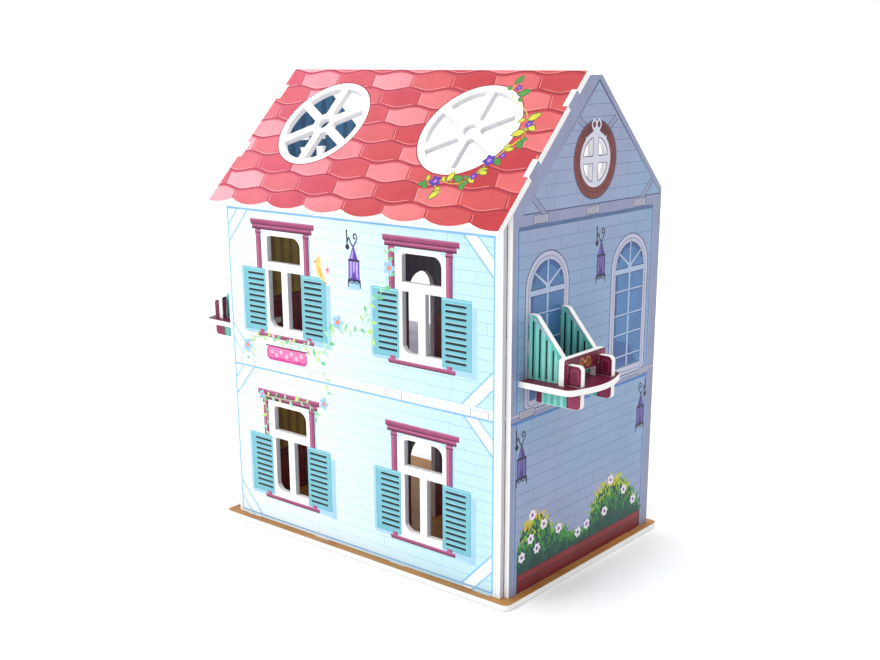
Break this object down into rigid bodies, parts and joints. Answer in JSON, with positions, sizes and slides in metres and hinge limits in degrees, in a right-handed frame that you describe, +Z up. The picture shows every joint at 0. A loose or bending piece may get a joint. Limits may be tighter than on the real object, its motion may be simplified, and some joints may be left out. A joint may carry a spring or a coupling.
{
  "type": "wooden dollhouse",
  "caption": "Open-backed dollhouse of slotted printed boards: storeys, attic, tiled front roof with round windows, and a balcony on each gable wall.",
  "frame": {"origin": "centre of the house body on the underside of the base board, so the house stands on z = 0", "axes": "+X to the right along the front wall as seen from the front, -Y out of the front wall, +Z up"},
  "size_m": [0.559, 0.3103, 0.532],
  "materials": {
    "base_board": "printed wood-brown top, white sawn edge, matt varnish",
    "front_wall": "printed pale siding, matt",
    "left_side_wall": "printed grey-blue siding, matt",
    "right_side_wall": "printed grey-blue siding, matt",
    "first_floor": "printed floorboards, matt",
    "attic_floor": "printed floorboards, matt",
    "lower_partition": "printed wallpaper, matt",
    "upper_partition": "printed wallpaper, matt",
    "roof_panel": "printed red-pink tiles, matt",
    "left_balcony_floor": "burgundy paint, white sawn edge",
    "left_balcony_front_side": "teal paint with dark slats, white sawn edge",
    "left_balcony_rear_side": "teal paint with dark slats, white sawn edge",
    "left_balcony_rail": "burgundy paint with a yellow scroll, white sawn edge",
    "right_balcony_floor": "burgundy paint, white sawn edge",
    "right_balcony_front_side": "teal paint with dark slats, white sawn edge",
    "right_balcony_rear_side": "teal paint with dark slats, white sawn edge",
    "right_balcony_rail": "burgundy paint with a yellow scroll, white sawn edge"
  },
  "bodies": {
    "root": {"base_board": "base_board", "front_wall": "front_wall", "left_side_wall": "left_side_wall", "right_side_wall": "right_side_wall", "first_floor": "first_floor", "attic_floor": "attic_floor", "lower_partition": "lower_partition", "upper_partition": "upper_partition", "roof_panel": "roof_panel", "left_balcony_floor": "left_balcony_floor", "left_balcony_front_side": "left_balcony_front_side", "left_balcony_rear_side": "left_balcony_rear_side", "left_balcony_rail": "left_balcony_rail", "right_balcony_floor": "right_balcony_floor", "right_balcony_front_side": "right_balcony_front_side", "right_balcony_rear_side": "right_balcony_rear_side", "right_balcony_rail": "right_balcony_rail"}
  },
  "joints": []
}
